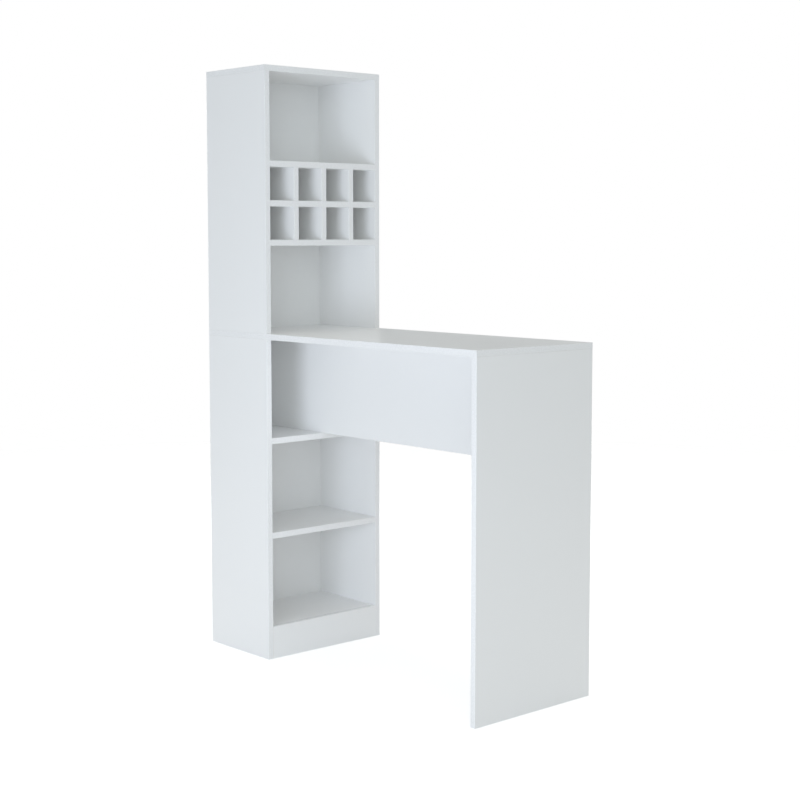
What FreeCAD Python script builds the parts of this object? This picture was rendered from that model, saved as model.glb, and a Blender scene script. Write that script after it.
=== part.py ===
import FreeCAD, Part
import os
import re

import Sketcher
from FreeCAD import Rotation, Vector

# Bar counter with a shelf tower, a flat-pack piece in 18 mm white melamine-faced board.
#
# Frame: millimetres, +Z up, origin on the floor at the centre of the footprint. +X runs along the
# counter from the tower to the end panel, and -Y is the near long side.
#
# Every board is a rectangle padded to the board's thickness, rounded along its edge bands and
# drilled for its fittings. Every joint is one function that drills both boards and places the
# fittings in them. Sizes and places are formulas of the driving dimensions in the sheet.

CELLS_ACROSS = 4
CELL_ROWS = 2

DRIVING_DIMENSIONS = (
    # The whole piece
    ("overall_length", 1200, "tower's back to the end panel's outer face"),
    ("overall_width", 450, "across the boards' outer faces"),
    ("tower_height", 1800, "floor to the top of the tower"),
    ("tower_depth", 300, "tower's back to its front edges"),
    ("counter_height", 1000, "floor to the top of the counter"),
    ("board_thickness", 18, "every board"),
    ("band_radius", 0.8, "round along a board's edge bands"),
    ("plinth_height", 100, "floor to the top of the bottom shelf"),
    ("modesty_height", 300, "upright board under the counter"),
    ("cell_height", 100, "clear height of a bottle cell"),
    # Drilling
    ("line_inset", 37, "first fitting, from a board's edge"),
    ("line_step", 32, "from one fitting to the next"),
    ("plinth_dowel_step", 28, "plinth's middle to the dowels above and below it"),
    ("hole_play", 0.1, "a hole's diameter over its fitting's"),
    ("run_out", 1, "a drilling tool's travel beyond the surface"),
    # Cam locks and their bolts
    ("cam_diameter", 15, "housing bore"),
    ("cam_body", 12.5, "height of the cam"),
    ("cam_sink", 0.3, "cam's top below the board's face"),
    ("cam_setback", 24, "board's end to the cam's axis"),
    ("cam_slot_play", 0.8, "a cam's slots over the bolt in them"),
    ("cam_cross_length", 7, "cross recess, tip to tip"),
    ("cam_cross_width", 1.4, "one slot of the cross recess"),
    ("cam_cross_depth", 2.2, "cross recess"),
    ("cam_socket", 4, "round centre of the cross recess"),
    ("bolt_thread_length", 11, "thread in the other board's face"),
    ("bolt_thread_crest", 6.2, "over the thread"),
    ("bolt_thread_root", 4.6, "under the thread"),
    ("bolt_collar", 7.5, "collar that stops on the face"),
    ("bolt_collar_length", 1.5, "collar"),
    ("bolt_shaft", 6, "shaft in the board's end"),
    ("bolt_shaft_end", 16, "joint to the end of the shaft"),
    ("bolt_neck", 4, "neck in the cam's slot"),
    ("bolt_neck_end", 21.5, "joint to the end of the neck"),
    ("bolt_head", 6.2, "head that the cam pulls"),
    ("bolt_reach", 26, "joint to the tip of the head"),
    ("bolt_bore", 8, "bore in the board's end"),
    ("cap_flange", 17, "cover cap over a cam"),
    ("cap_thickness", 1.2, "its flange"),
    ("cap_spigot", 3.6, "its pin in the cam's recess"),
    ("cap_spigot_length", 2, "pin below the flange"),
    # Dowels
    ("dowel_diameter", 8, "dowel"),
    ("dowel_length", 30, "dowel"),
    ("dowel_bevel", 1, "at both ends"),
    ("dowel_in_face", 10, "part of a dowel in a board's face"),
    ("dowel_in_rack_shelf", 8, "part of a divider's dowel in a rack shelf"),
    ("dowel_room", 0.5, "free depth past a dowel's end"),
    # Connector screws, with a countersunk head and a hexagon socket
    ("connector_length", 50, "over the head"),
    ("connector_head", 10, "head"),
    ("connector_head_depth", 4, "head's cone and rim"),
    ("connector_shank", 7, "plain shank"),
    ("connector_shank_end", 17, "head's top to the thread"),
    ("connector_crest", 6.4, "over the thread"),
    ("connector_root", 4.6, "under the thread"),
    ("connector_tip", 3, "length of the point"),
    ("connector_socket", 4.6, "across the socket's corners"),
    ("connector_socket_depth", 3, "hexagon socket"),
    ("screw_cap_width", 14, "stick-on cap"),
    ("screw_cap_thickness", 0.5, "stick-on cap"),
    # Chipboard screws through the backs
    ("back_screw_length", 45, "over the head"),
    ("back_screw_head", 8, "head"),
    ("back_screw_head_depth", 2.6, "head's cone and rim"),
    ("back_screw_crest", 4, "over the thread"),
    ("back_screw_root", 2.8, "under the thread"),
    ("back_screw_tip", 4, "length of the point"),
    ("back_screw_cross_length", 4.4, "cross recess, tip to tip"),
    ("back_screw_cross_width", 0.9, "one slot of the cross recess"),
    ("back_screw_cross_depth", 1.6, "cross recess"),
    ("head_rim", 0.6, "straight rim of a countersunk head"),
    ("head_sink", 0.2, "a screw head's top below the board's face"),
)

# Places that several boards share, as formulas of the driving dimensions
REAR = "-overall_length / 2"
FRONT = "tower_depth - overall_length / 2"
BACK_BOARD_FRONT = "board_thickness - overall_length / 2"
BACK_BOARD_MIDDLE = "(board_thickness - overall_length) / 2"
PLINTH_REAR = "tower_depth - overall_length / 2 - board_thickness"
PLINTH_MIDDLE = "tower_depth - (overall_length + board_thickness) / 2"
END_PANEL_INSIDE = "overall_length / 2 - board_thickness"
END_PANEL_MIDDLE = "(overall_length - board_thickness) / 2"
NEAR = "-overall_width / 2"
NEAR_INSIDE = "board_thickness - overall_width / 2"
NEAR_MIDDLE = "(board_thickness - overall_width) / 2"
FAR_INSIDE = "overall_width / 2 - board_thickness"
FAR_MIDDLE = "(overall_width - board_thickness) / 2"
INNER_WIDTH = "overall_width - 2 * board_thickness"
SHELF_DEPTH = "tower_depth - board_thickness"
COUNTER_UNDERSIDE = "counter_height - board_thickness"
MODESTY_FOOT = "counter_height - board_thickness - modesty_height"
MIDDLE_SHELF_BASE = "counter_height - 2 * board_thickness - modesty_height"
LOWER_SHELF_BASE = f"(plinth_height + {MIDDLE_SHELF_BASE} - board_thickness) / 2"
TOP_UNDERSIDE = "tower_height - board_thickness"
RACK_HEIGHT = f"{CELL_ROWS + 1} * board_thickness + {CELL_ROWS} * cell_height"
RACK_BASE = f"(counter_height + {TOP_UNDERSIDE} - ({RACK_HEIGHT})) / 2"
CELL_WIDTH = f"(overall_width - {CELLS_ACROSS + 1} * board_thickness) / {CELLS_ACROSS}"
CELL_PITCH = f"({CELL_WIDTH} + board_thickness)"

DIRECTIONS = {
    "+x": Vector(1, 0, 0),
    "-x": Vector(-1, 0, 0),
    "+y": Vector(0, 1, 0),
    "-y": Vector(0, -1, 0),
    "+z": Vector(0, 0, 1),
    "-z": Vector(0, 0, -1),
}
AXES = "xyz"
PLANE_OF_THIN_AXIS = {"x": "YZ_Plane", "y": "XZ_Plane", "z": "XY_Plane"}

doc = FreeCAD.newDocument("bar_counter")
sheet = doc.addObject("Spreadsheet::Sheet", "Sizes")
for row, (alias, size, note) in enumerate(DRIVING_DIMENSIONS, start=1):
    sheet.set(f"A{row}", alias)
    sheet.set(f"B{row}", str(size))
    sheet.set(f"C{row}", note)
    sheet.setAlias(f"B{row}", alias)
doc.recompute()


# Formulas and places

def bind(target, path, formula):
    """Bind one property of an object to a formula of the sheet's dimensions."""
    target.setExpression(path, re.sub(r"[a-z_]+", r"Sizes.\g<0>", formula))


def value(formula):
    """The number that a formula gives now."""
    return float(sheet.evalExpression(formula))


def opposite(way):
    """The direction against a direction such as "+x"."""
    return ("-" if way[0] == "+" else "+") + way[1]


def moved(place, way, distance):
    """The place that lies `distance` further along a direction."""
    shifted = list(place)
    axis = AXES.index(way[1])
    shifted[axis] = f"{place[axis]} {way[0]} ({distance})"
    return tuple(shifted)


def put(target, place, turn=Rotation()):
    """Turn an object and bind its origin to a place given as three formulas."""
    target.Placement = FreeCAD.Placement(Vector(), turn)
    for axis, formula in zip(AXES, place):
        bind(target, f"Placement.Base.{axis}", formula)


# Sketches and features

def origin_plane(body, role):
    """One of a body's own three origin planes."""
    return next(plane for plane in body.Origin.OriginFeatures if plane.Role == role)


def sketch_on(body, name, role, lift="0"):
    """An empty sketch on one of a body's origin planes, lifted along its normal."""
    sketch = body.newObject("Sketcher::SketchObject", name)
    sketch.AttachmentSupport = [(origin_plane(body, role), "")]
    sketch.MapMode = "FlatFace"
    bind(sketch, "AttachmentOffset.Base.z", lift)
    return sketch


def pin(sketch, line, kind, formula, axis_line):
    """Hold the start of a line at a bound distance from the sketch's origin, or on its axis."""
    if formula == "0":
        sketch.addConstraint(Sketcher.Constraint("PointOnObject", line, 1, axis_line))
        return
    distance = Sketcher.Constraint(kind, -1, 1, line, 1, value(formula))
    index = sketch.addConstraint(distance)
    bind(sketch, f"Constraints[{index}]", formula)


def outline(body, name, role, corners, lift="0"):
    """A closed outline of straight lines whose corners are pairs of formulas."""
    sketch = sketch_on(body, name, role, lift)
    spots = [Vector(value(across), value(up), 0) for across, up in corners]
    lines = []
    for start, end in zip(spots, spots[1:] + spots[:1]):
        lines.append(sketch.addGeometry(Part.LineSegment(start, end), False))
    for line, following in zip(lines, lines[1:] + lines[:1]):
        sketch.addConstraint(Sketcher.Constraint("Coincident", line, 2, following, 1))
    for line, (across, up) in zip(lines, corners):
        pin(sketch, line, "DistanceX", across, -2)
        pin(sketch, line, "DistanceY", up, -1)
    return sketch


def rectangle(body, name, centre_x, length, width, lift):
    """A rectangle centred on the X axis, parallel to the XY plane."""
    low_x = f"{centre_x} - ({length}) / 2"
    high_x = f"{centre_x} + ({length}) / 2"
    low_y = f"-({width}) / 2"
    high_y = f"({width}) / 2"
    corners = ((low_x, low_y), (high_x, low_y), (high_x, high_y), (low_x, high_y))
    return outline(body, name, "XY_Plane", corners, lift)


def circle(body, name, diameter, lift="0"):
    """A circle about the Z axis, parallel to the XY plane."""
    sketch = sketch_on(body, name, "XY_Plane", lift)
    radius = value(diameter) / 2
    ring = sketch.addGeometry(Part.Circle(Vector(), Vector(0, 0, 1), radius), False)
    sketch.addConstraint(Sketcher.Constraint("Coincident", ring, 3, -1, 1))
    index = sketch.addConstraint(Sketcher.Constraint("Radius", ring, radius))
    bind(sketch, f"Constraints[{index}]", f"({diameter}) / 2")
    return sketch


def pad(body, sketch, length, downwards=False):
    """Pad a sketch, along its normal or against it."""
    feature = body.newObject("PartDesign::Pad", f"{body.Name}_pad")
    feature.Profile = sketch
    feature.Reversed = downwards
    bind(feature, "Length", length)
    doc.recompute()
    return feature


def pocket(body, sketch, depth, upwards=False):
    """Pocket a sketch, against its normal or along it, and see that it takes material away."""
    before = body.Shape.Volume
    feature = body.newObject("PartDesign::Pocket", f"{body.Name}_pocket")
    feature.Profile = sketch
    feature.Reversed = upwards
    bind(feature, "Length", depth)
    doc.recompute()
    if body.Shape.Volume >= before:
        raise RuntimeError(f"{sketch.Name} cuts nothing from {body.Name}")
    return feature


def turned(name, profile):
    """A piece turned about the X axis, from a half profile of (distance, radius) formulas."""
    body = doc.addObject("PartDesign::Body", name)
    sketch = outline(body, f"{name}_profile", "XY_Plane", profile)
    revolution = body.newObject("PartDesign::Revolution", f"{name}_revolution")
    revolution.Profile = sketch
    revolution.ReferenceAxis = (sketch, ["H_Axis"])
    revolution.Angle = 360
    doc.recompute()
    return body


def thread(start, end, crest, root, ridges):
    """Half profile of a thread, drawn as rings of one pitch from start to end."""
    pitch = f"(({end}) - ({start})) / {ridges}"
    profile = []
    for ridge in range(ridges):
        profile.append((f"{start} + {ridge} * {pitch}", f"({root}) / 2"))
        profile.append((f"{start} + {ridge + 0.5} * {pitch}", f"({crest}) / 2"))
    profile.append((end, f"({root}) / 2"))
    return profile


# Boards

class Board:
    """A board: its blank with rounded edge bands, and the drillings cut out of it."""

    made = []

    def __init__(self, name, low, size, thin, bands=()):
        self.name = name
        self.thin = thin
        self.drillings = []
        self.blank = doc.addObject("PartDesign::Body", f"{name}_blank")
        across, up = [size[AXES.index(axis)] for axis in AXES if axis != thin]
        corners = (("0", "0"), (across, "0"), (across, up), ("0", up))
        sketch = outline(self.blank, f"{name}_outline", PLANE_OF_THIN_AXIS[thin], corners)
        plank = pad(self.blank, sketch, size[AXES.index(thin)], downwards=(thin == "y"))
        if bands:
            self.round_bands(plank, bands)
        put(self.blank, low)
        Board.made.append(self)

    def round_bands(self, plank, bands):
        """Round the two long edges of each side that carries an edge band."""
        edges = set()
        for band in bands:
            edges.update(self.long_edges(plank.Shape, band))
        fillet = self.blank.newObject("PartDesign::Fillet", f"{self.name}_bands")
        fillet.Base = (plank, sorted(edges))
        bind(fillet, "Radius", "band_radius")

    def long_edges(self, shape, band):
        """Names of the edges along one side of the blank, such as its "+x" side."""
        outward = DIRECTIONS[band]
        along = next(axis for axis in AXES if axis not in (self.thin, band[1]))
        reach = max(vertex.Point.dot(outward) for vertex in shape.Vertexes)
        names = []
        for number, edge in enumerate(shape.Edges, start=1):
            start, end = [vertex.Point for vertex in edge.Vertexes]
            on_side = min(start.dot(outward), end.dot(outward)) > reach - 0.01
            runs_along = abs((end - start).dot(DIRECTIONS["+" + along])) > 0.01
            if on_side and runs_along:
                names.append(f"Edge{number}")
        return names

    def next_name(self):
        return f"{self.name}_drilling_{len(self.drillings) + 1}"

    def drill(self, at, into, diameter, depth):
        """Drill a round hole for a fitting, from a place on the surface."""
        hole = doc.addObject("Part::Cylinder", self.next_name())
        bind(hole, "Radius", f"({diameter} + hole_play) / 2")
        bind(hole, "Height", f"{depth} + run_out")
        put(hole, moved(at, into, "-run_out"), Rotation(DIRECTIONS["+z"], DIRECTIONS[into]))
        self.drillings.append(hole)

    def countersink(self, at, into, wide, narrow, depth):
        """Cut the seat of a countersunk head: its rim, and the cone below the rim."""
        self.drill(at, into, wide, "head_sink + head_rim")
        cone = doc.addObject("Part::Cone", self.next_name())
        bind(cone, "Radius1", f"({wide} + hole_play) / 2")
        bind(cone, "Radius2", f"({narrow} + hole_play) / 2")
        bind(cone, "Height", f"{depth} - head_rim")
        start = moved(at, into, "head_sink + head_rim")
        put(cone, start, Rotation(DIRECTIONS["+z"], DIRECTIONS[into]))
        self.drillings.append(cone)

    def finish(self):
        """Cut the drillings out of the blank."""
        tools = doc.addObject("Part::MultiFuse", f"{self.name}_drillings")
        tools.Shapes = self.drillings
        board = doc.addObject("Part::Cut", self.name)
        board.Base = self.blank
        board.Tool = tools
        board.Label = self.name
        return board


# Fittings

class Fitting:
    """One kind of fitting: its pattern piece, and a copy of it in every place."""

    def __init__(self, name, pattern):
        self.name = name
        self.pattern = pattern
        self.copies = []

    def place(self, at, turn):
        copy = doc.addObject("App::Link", f"{self.name}_{len(self.copies) + 1}")
        copy.LinkedObject = self.pattern
        put(copy, at, turn)
        self.copies.append(copy)

    def finish(self):
        group = doc.addObject("Part::Compound", self.name)
        group.Links = self.copies
        group.Label = self.name
        return group


def make_cam_lock():
    """A cam, its axis on Z and its top at the origin, open below for a bolt from +X."""
    body = doc.addObject("PartDesign::Body", "cam_lock")
    pad(body, circle(body, "cam_outline", "cam_diameter"), "cam_body", downwards=True)
    up_to_bolt = "cam_body + cam_sink + (cam_slot_play - board_thickness) / 2"
    neck_slot = rectangle(
        body, "cam_neck_slot", "cam_diameter / 4 + run_out / 2", "cam_diameter / 2 + run_out",
        "bolt_neck + cam_slot_play", "-cam_body")
    pocket(body, neck_slot, f"{up_to_bolt} + bolt_neck / 2", upwards=True)
    head_room = rectangle(
        body, "cam_head_room", "cam_setback - (bolt_neck_end + bolt_reach) / 2",
        "bolt_reach - bolt_neck_end + cam_slot_play", "bolt_head + cam_slot_play", "-cam_body")
    pocket(body, head_room, f"{up_to_bolt} + bolt_head / 2", upwards=True)
    pocket(body, circle(body, "cam_socket_outline", "cam_socket"), "cam_cross_depth")
    cross_along = rectangle(
        body, "cam_cross_along", "0", "cam_cross_length", "cam_cross_width", "0")
    pocket(body, cross_along, "cam_cross_depth")
    cross_over = rectangle(
        body, "cam_cross_over", "0", "cam_cross_width", "cam_cross_length", "0")
    pocket(body, cross_over, "cam_cross_depth")
    return body


def make_cam_bolt():
    """A cam bolt along X, its thread's tip at the origin and its head at the far end."""
    joint = "bolt_thread_length"
    profile = [("0", "0")]
    profile += thread("0", joint, "bolt_thread_crest", "bolt_thread_root", 4)
    for start, end, width in (
        ("0", "bolt_collar_length", "bolt_collar"),
        ("bolt_collar_length", "bolt_shaft_end", "bolt_shaft"),
        ("bolt_shaft_end", "bolt_neck_end", "bolt_neck"),
        ("bolt_neck_end", "bolt_reach", "bolt_head"),
    ):
        profile.append((f"{joint} + {start}", f"{width} / 2"))
        profile.append((f"{joint} + {end}", f"{width} / 2"))
    profile.append((f"{joint} + bolt_reach", "0"))
    return turned("cam_bolt", profile)


def make_cam_cap():
    """A cover cap along X: its pin from the origin, and its flange at the far end."""
    flange_top = "cap_spigot_length + cap_thickness"
    profile = (
        ("0", "0"),
        ("0", "cap_spigot / 2"),
        ("cap_spigot_length", "cap_spigot / 2"),
        ("cap_spigot_length", "cap_flange / 2"),
        ("cap_spigot_length + cap_thickness / 3", "cap_flange / 2"),
        (flange_top, "cap_flange / 2 - cap_thickness"),
        (flange_top, "0"),
    )
    return turned("cam_cap", profile)


def make_dowel():
    """A dowel along X, bevelled at both ends."""
    profile = (
        ("0", "0"),
        ("0", "dowel_diameter / 2 - dowel_bevel"),
        ("dowel_bevel", "dowel_diameter / 2"),
        ("dowel_length - dowel_bevel", "dowel_diameter / 2"),
        ("dowel_length", "dowel_diameter / 2 - dowel_bevel"),
        ("dowel_length", "0"),
    )
    return turned("dowel", profile)


def countersunk_screw(name, head, head_depth, shank, shank_end, crest, root, tip, length, ridges):
    """A countersunk screw along X, its head's top at the origin."""
    profile = [
        ("0", "0"),
        ("0", f"{head} / 2"),
        ("head_rim", f"{head} / 2"),
        (head_depth, f"{shank} / 2"),
    ]
    if shank_end != head_depth:
        profile.append((shank_end, f"{shank} / 2"))
    profile += thread(shank_end, f"{length} - {tip}", crest, root, ridges)
    profile.append((length, "0"))
    return turned(name, profile)


def make_connector_screw():
    """The connector screw, with a hexagon socket cut into its head."""
    screw = countersunk_screw(
        "connector_screw_blank", "connector_head", "connector_head_depth", "connector_shank",
        "connector_shank_end", "connector_crest", "connector_root", "connector_tip",
        "connector_length", 10)
    socket = doc.addObject("Part::Prism", "connector_screw_socket")
    socket.Polygon = 6
    bind(socket, "Circumradius", "connector_socket / 2")
    bind(socket, "Height", "connector_socket_depth + run_out")
    put(socket, ("-run_out", "0", "0"), Rotation(DIRECTIONS["+z"], DIRECTIONS["+x"]))
    pattern = doc.addObject("Part::Cut", "connector_screw")
    pattern.Base = screw
    pattern.Tool = socket
    return pattern


def make_back_screw():
    """The chipboard screw, with a cross recess cut into its head."""
    screw = countersunk_screw(
        "back_screw_blank", "back_screw_head", "back_screw_head_depth", "back_screw_crest",
        "back_screw_head_depth", "back_screw_crest", "back_screw_root", "back_screw_tip",
        "back_screw_length", 14)
    slots = []
    for number, (wide, deep) in enumerate((("length", "width"), ("width", "length")), start=1):
        slot = doc.addObject("Part::Box", f"back_screw_slot_{number}")
        bind(slot, "Length", "back_screw_cross_depth + run_out")
        bind(slot, "Width", f"back_screw_cross_{wide}")
        bind(slot, "Height", f"back_screw_cross_{deep}")
        corner = ("-run_out", f"-back_screw_cross_{wide} / 2", f"-back_screw_cross_{deep} / 2")
        put(slot, corner)
        slots.append(slot)
    cross = doc.addObject("Part::MultiFuse", "back_screw_cross")
    cross.Shapes = slots
    pattern = doc.addObject("Part::Cut", "back_screw")
    pattern.Base = screw
    pattern.Tool = cross
    return pattern


def make_screw_cap():
    """A stick-on cap along X, its sticky side at the origin."""
    profile = (
        ("0", "0"),
        ("0", "screw_cap_width / 2"),
        ("screw_cap_thickness / 2", "screw_cap_width / 2"),
        ("screw_cap_thickness", "(screw_cap_width - screw_cap_thickness) / 2"),
        ("screw_cap_thickness", "0"),
    )
    return turned("screw_cap", profile)


cam_locks = Fitting("cam_locks", make_cam_lock())
cam_bolts = Fitting("cam_bolts", make_cam_bolt())
cam_caps = Fitting("cam_caps", make_cam_cap())
wooden_dowels = Fitting("wooden_dowels", make_dowel())
confirmat_screws = Fitting("confirmat_screws", make_connector_screw())
screw_caps = Fitting("screw_caps", make_screw_cap())
back_screws = Fitting("back_screws", make_back_screw())
FITTINGS = (
    cam_locks, cam_bolts, cam_caps, wooden_dowels, confirmat_screws, screw_caps, back_screws)


# Joints. In each, `at` is a place on the face where the two boards meet, and `out` points from the
# face board into the end board. In the screwed joints `at` is where the screw goes in.

def along_x(way):
    """The turn that lays a piece made along X along another direction."""
    return Rotation(DIRECTIONS["+x"], DIRECTIONS[way])


def cam_joint(face_board, end_board, at, out, cam_side, capped=True):
    """Pull a board's end onto another's face: a bolt in the face, a cam in the end board."""
    face_board.drill(at, opposite(out), "bolt_thread_crest", "bolt_thread_length")
    end_board.drill(at, out, "bolt_bore", "cam_setback")
    cam_axis = moved(at, out, "cam_setback")
    mouth = moved(cam_axis, cam_side, "board_thickness / 2")
    inward = opposite(cam_side)
    end_board.drill(mouth, inward, "cam_diameter", "cam_sink + cam_body")
    cam_turn = Rotation(
        DIRECTIONS[opposite(out)], Vector(), DIRECTIONS[cam_side], "ZXY")
    cam_locks.place(moved(mouth, inward, "cam_sink"), cam_turn)
    cam_bolts.place(moved(at, opposite(out), "bolt_thread_length"), along_x(out))
    if capped:
        cam_caps.place(moved(mouth, inward, "cap_spigot_length"), along_x(cam_side))


def dowel_joint(face_board, end_board, at, out, in_face="dowel_in_face"):
    """Locate a board's end on another's face with a dowel."""
    face_board.drill(at, opposite(out), "dowel_diameter", in_face)
    end_depth = f"dowel_length - {in_face} + dowel_room"
    end_board.drill(at, out, "dowel_diameter", end_depth)
    wooden_dowels.place(moved(at, opposite(out), in_face), along_x(out))


def connector_joint(face_board, end_board, at, into, capped=False):
    """Screw through a board's face into another's end with a connector screw."""
    face_board.drill(at, into, "connector_shank", "board_thickness + run_out")
    face_board.countersink(
        at, into, "connector_head", "connector_shank", "connector_head_depth")
    depth = "connector_length + head_sink - board_thickness + dowel_room"
    end_board.drill(moved(at, into, "board_thickness"), into, "connector_crest", depth)
    confirmat_screws.place(moved(at, into, "head_sink"), along_x(into))
    if capped:
        screw_caps.place(at, along_x(opposite(into)))


def back_joint(back_board, shelf, at, into):
    """Screw through the back into the rear edge of a shelf."""
    back_board.drill(at, into, "back_screw_crest", "board_thickness + run_out")
    back_board.countersink(
        at, into, "back_screw_head", "back_screw_crest", "back_screw_head_depth")
    depth = "back_screw_length + head_sink - board_thickness + dowel_room"
    shelf.drill(moved(at, into, "board_thickness"), into, "back_screw_crest", depth)
    back_screws.place(moved(at, into, "head_sink"), along_x(into))


def both_ends(start, end, steps):
    """Two places, each a number of drilling steps in from one end of a board."""
    inset = f"(line_inset + {steps} * line_step)"
    return f"{start} + {inset}", f"{end} - {inset}"


def mirrored(distance):
    """Two places at one distance on either side of the middle."""
    return f"-({distance})", distance


# The boards

def upright_side(name, near, foot, height):
    """A side of the tower, banded at its front and rear."""
    low_y = NEAR if near else FAR_INSIDE
    size = ("tower_depth", "board_thickness", height)
    return Board(name, (REAR, low_y, foot), size, "y", ("+x", "-x"))


def back_between_sides(name, foot, height):
    """A back board that stands between the two sides."""
    size = ("board_thickness", INNER_WIDTH, height)
    return Board(name, (REAR, NEAR_INSIDE, foot), size, "x")


def shelf_between_sides(name, base, depth=SHELF_DEPTH):
    """A shelf in front of the back board, banded at its front."""
    size = (depth, INNER_WIDTH, "board_thickness")
    return Board(name, (BACK_BOARD_FRONT, NEAR_INSIDE, base), size, "z", ("+x",))


def rack_level(row):
    """Underside of one of the rack's shelves."""
    return f"{RACK_BASE} + {row} * (board_thickness + cell_height)"


def rack_divider(name, column, row):
    """An upright between two cells of the rack, banded at its front."""
    low_y = f"{NEAR_INSIDE} + {column} * {CELL_PITCH} - board_thickness"
    low = (BACK_BOARD_FRONT, low_y, f"{rack_level(row)} + board_thickness")
    return Board(name, low, (SHELF_DEPTH, "board_thickness", "cell_height"), "y", ("+x",))


lower_side_near = upright_side("lower_side_near", True, "0", COUNTER_UNDERSIDE)
lower_side_far = upright_side("lower_side_far", False, "0", COUNTER_UNDERSIDE)
lower_back = back_between_sides("lower_back", "0", COUNTER_UNDERSIDE)
plinth = Board(
    "plinth", (PLINTH_REAR, NEAR_INSIDE, "0"), ("board_thickness", INNER_WIDTH, "plinth_height"),
    "x", ("+z",))
bottom_shelf = shelf_between_sides(
    "bottom_shelf", "plinth_height - board_thickness", "tower_depth - 2 * board_thickness")
lower_shelf = shelf_between_sides("lower_shelf", LOWER_SHELF_BASE)
middle_shelf = shelf_between_sides("middle_shelf", MIDDLE_SHELF_BASE)

countertop = Board(
    "countertop", (REAR, NEAR, COUNTER_UNDERSIDE),
    ("overall_length", "overall_width", "board_thickness"), "z", ("+x", "-x", "+y", "-y"))
end_panel = Board(
    "end_panel", (END_PANEL_INSIDE, NEAR, "0"),
    ("board_thickness", "overall_width", COUNTER_UNDERSIDE), "x", ("+y", "-y"))
modesty_panel = Board(
    "modesty_panel", (BACK_BOARD_FRONT, "-board_thickness / 2", MODESTY_FOOT),
    ("overall_length - 2 * board_thickness", "board_thickness", "modesty_height"), "y", ("-z",))

UPPER_SIDE_HEIGHT = "tower_height - board_thickness - counter_height"
upper_side_near = upright_side("upper_side_near", True, "counter_height", UPPER_SIDE_HEIGHT)
upper_side_far = upright_side("upper_side_far", False, "counter_height", UPPER_SIDE_HEIGHT)
upper_back = back_between_sides("upper_back", "counter_height", UPPER_SIDE_HEIGHT)
top_panel = Board(
    "top_panel", (REAR, NEAR, TOP_UNDERSIDE), ("tower_depth", "overall_width", "board_thickness"),
    "z", ("+x", "-x", "+y", "-y"))

rack_shelves = []
for row, place_name in enumerate(("bottom", "middle", "top")):
    rack_shelves.append(shelf_between_sides(f"rack_shelf_{place_name}", rack_level(row)))

rack_dividers = {}
for row, row_name in enumerate(("lower", "upper")):
    for column in range(1, CELLS_ACROSS):
        name = f"rack_divider_{row_name}_{column}"
        rack_dividers[row, column] = rack_divider(name, column, row)


# The joints

def join_shelf(shelf, near_side, far_side, back, base, front=FRONT):
    """Hang a shelf between two sides and screw it through the back."""
    level = f"{base} + board_thickness / 2"
    for side, face, out in ((near_side, NEAR_INSIDE, "+y"), (far_side, FAR_INSIDE, "-y")):
        for x in both_ends(BACK_BOARD_FRONT, front, 0):
            cam_joint(side, shelf, (x, face, level), out, "-z")
        for x in both_ends(BACK_BOARD_FRONT, front, 1):
            dowel_joint(side, shelf, (x, face, level), out)
    for y in mirrored(f"1.5 * {CELL_PITCH}"):
        back_joint(back, shelf, (REAR, y, level), "+x")


def join_back(back, near_side, far_side, foot, top):
    """Draw a back board between two sides, with the bare cams in its rear face."""
    half_height = f"({top} - ({foot})) / 2"
    middle = f"({foot} + {top}) / 2"
    cam_heights = (f"{foot} + 2 * line_inset", middle, f"{top} - 2 * line_inset")
    dowel_heights = (f"{middle} - ({half_height}) / 2", f"{middle} + ({half_height}) / 2")
    for side, face, out in ((near_side, NEAR_INSIDE, "+y"), (far_side, FAR_INSIDE, "-y")):
        for z in cam_heights:
            cam_joint(side, back, (BACK_BOARD_MIDDLE, face, z), out, "-x", capped=False)
        for z in dowel_heights:
            dowel_joint(side, back, (BACK_BOARD_MIDDLE, face, z), out)


def join_plinth():
    """Fix the plinth between the lower sides, and the bottom shelf behind it."""
    for side, face, out in (
        (lower_side_near, NEAR_INSIDE, "+y"),
        (lower_side_far, FAR_INSIDE, "-y"),
    ):
        middle = (PLINTH_MIDDLE, face, "plinth_height / 2")
        cam_joint(side, plinth, middle, out, "-x", capped=False)
        for way in ("+z", "-z"):
            dowel_joint(side, plinth, moved(middle, way, "plinth_dowel_step"), out)
    level = "plinth_height - board_thickness / 2"
    for y in ("0",) + mirrored(CELL_PITCH):
        dowel_joint(plinth, bottom_shelf, (PLINTH_REAR, y, level), "-x")


def join_lower_cabinet_to_counter():
    """Draw the counter onto the lower sides, and locate it on the lower back."""
    for side, y, cam_side in (
        (lower_side_near, NEAR_MIDDLE, "+y"),
        (lower_side_far, FAR_MIDDLE, "-y"),
    ):
        for x in both_ends(REAR, FRONT, 1):
            cam_joint(countertop, side, (x, y, COUNTER_UNDERSIDE), "-z", cam_side)
        for x in both_ends(REAR, FRONT, 2):
            dowel_joint(countertop, side, (x, y, COUNTER_UNDERSIDE), "-z")
    for y in mirrored(f"{CELL_PITCH} / 2"):
        dowel_joint(countertop, lower_back, (BACK_BOARD_MIDDLE, y, COUNTER_UNDERSIDE), "-z")


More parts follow.
